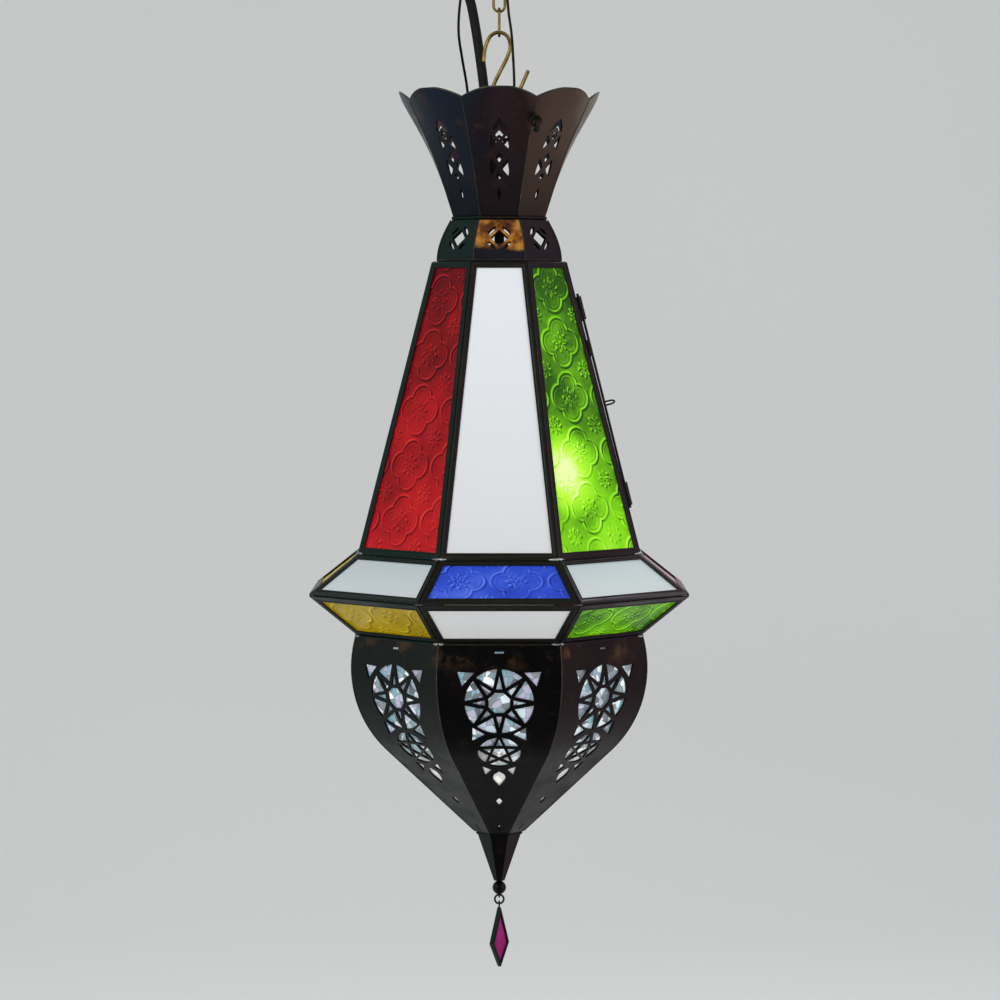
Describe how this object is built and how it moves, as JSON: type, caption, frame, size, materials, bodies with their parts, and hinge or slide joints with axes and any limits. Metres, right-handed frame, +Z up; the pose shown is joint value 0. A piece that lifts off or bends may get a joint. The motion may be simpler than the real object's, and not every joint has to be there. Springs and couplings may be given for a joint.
{
  "type": "glass pendant lamp",
  "caption": "Faceted coloured-glass pendant lamp with petal crown, flared belts, pierced star-pattern bowl, side door and glass drop, hung by hook, chain and S-hook.",
  "frame": {"origin": "centre of the ceiling plate's upper face, on the lamp's axis", "axes": "+Z up out of the ceiling plate, -Y towards the lamp's front face, +X towards the door"},
  "size_m": [0.2546, 0.2546, 0.7196],
  "materials": {
    "steel": "bright zinc-plated steel",
    "rose_paint": "dark painted sheet steel, satin",
    "yellow_brass": "worn yellow brass",
    "black_plastic": "black moulded plastic",
    "cable_sheath": "smooth black cable sheath",
    "dark_wire": "thin dark tying wire",
    "dark_metal": "dark oxidised metal with a blue-green sheen, satin",
    "opal_glass": "opal white pressed glass with raised flowers",
    "red_glass": "red pressed glass with raised flowers",
    "green_glass": "green pressed glass with raised flowers",
    "blue_glass": "cobalt blue pressed glass with raised flowers",
    "amber_glass": "amber yellow pressed glass with raised flowers",
    "frosted_glass": "pale frosted pressed glass",
    "rose_glass": "rose pink pressed glass",
    "clear_glass": "clear patterned glass",
    "magenta_glass": "magenta glass",
    "ceramic": "off-white glazed insulator",
    "lamp_opal": "opal white lamp glass"
  },
  "bodies": {
    "ceiling_fitting": {"ceiling_plate": "steel", "ceiling_rose": "rose_paint", "ceiling_hook": "yellow_brass", "hook_nut": "yellow_brass", "rose_cord_grip": "black_plastic", "power_cord": "cable_sheath", "safety_wire": "dark_wire"},
    "upper_link": {"chain_link_upper": "yellow_brass"},
    "lower_link": {"chain_link_lower": "yellow_brass"},
    "s_hook": {"s_hook": "yellow_brass"},
    "lamp": {"cross_rod": "dark_metal", "crown": "dark_metal", "collar": "dark_metal", "body_frame": "dark_metal", "body_glass_0": "opal_glass", "body_glass_45": "green_glass", "body_glass_135": "blue_glass", "body_glass_180": "opal_glass", "body_glass_225": "amber_glass", "body_glass_270": "opal_glass", "body_glass_315": "red_glass", "upper_belt_frame": "dark_metal", "upper_belt_glass_0": "blue_glass", "upper_belt_glass_45": "frosted_glass", "upper_belt_glass_90": "rose_glass", "upper_belt_glass_135": "frosted_glass", "upper_belt_glass_180": "green_glass", "upper_belt_glass_225": "frosted_glass", "upper_belt_glass_270": "amber_glass", "upper_belt_glass_315": "frosted_glass", "lower_belt_frame": "dark_metal", "lower_belt_glass_0": "opal_glass", "lower_belt_glass_45": "green_glass", "lower_belt_glass_90": "opal_glass", "lower_belt_glass_135": "red_glass", "lower_belt_glass_180": "opal_glass", "lower_belt_glass_225": "blue_glass", "lower_belt_glass_270": "opal_glass", "lower_belt_glass_315": "amber_glass", "pierced_bowl": "dark_metal", "bowl_liner_glass": "clear_glass", "finial_cone": "dark_metal", "finial_ball": "dark_metal", "door_hinge_pin": "dark_metal", "holder_bridge": "dark_metal", "holder_nipple": "steel", "holder_cord_grip": "black_plastic", "holder_cap": "black_plastic", "holder_skirt": "black_plastic", "holder_core": "ceramic"},
    "door": {"door_frame": "dark_metal", "door_glass": "opal_glass", "door_pull": "steel"},
    "bulb": {"lamp_cap": "steel", "lamp_glass": "lamp_opal"},
    "drop_ring": {"drop_ring": "dark_metal"},
    "drop": {"drop_frame": "dark_metal", "drop_glass": "magenta_glass"}
  },
  "joints": [
    {"name": "upper_link_swing", "type": "hinge", "parent": "ceiling_fitting", "child": "upper_link", "pos_m": [0, 0, -0.0554], "axis": [0, 1, 0], "range_deg": [-20, 20], "deforming": ["power_cord", "safety_wire"]},
    {"name": "lower_link_swing", "type": "hinge", "parent": "upper_link", "child": "lower_link", "pos_m": [0, 0, -0.07065], "axis": [1, 0, 0], "range_deg": [-20, 20], "deforming": ["power_cord", "safety_wire"]},
    {"name": "s_hook_swing", "type": "hinge", "parent": "lower_link", "child": "s_hook", "pos_m": [0, 0, -0.08695], "axis": [0, 1, 0], "range_deg": [-20, 20], "deforming": ["power_cord", "safety_wire"]},
    {"name": "lamp_swing", "type": "hinge", "parent": "s_hook", "child": "lamp", "pos_m": [0, 0, -0.1348], "axis": [1, 0, 0], "range_deg": [-20, 20], "deforming": ["power_cord", "safety_wire"]},
    {"name": "door_hinge", "type": "hinge", "parent": "lamp", "child": "door", "pos_m": [0.09682, 0.0401, -0.43251], "axis": [-0.2439, -0.101, 0.9645], "range_deg": [0, 110]},
    {"name": "bulb_screw", "type": "hinge", "parent": "lamp", "child": "bulb", "pos_m": [0, 0, -0.3], "axis": [0, 0, 1], "range_deg": [0, 720]},
    {"name": "drop_ring_swing", "type": "hinge", "parent": "lamp", "child": "drop_ring", "pos_m": [0, 0, -0.66994], "axis": [1, 0, 0], "range_deg": [-45, 45]},
    {"name": "drop_swing", "type": "hinge", "parent": "drop_ring", "child": "drop", "pos_m": [0, 0, -0.67299], "axis": [0, 1, 0], "range_deg": [-45, 45]}
  ]
}
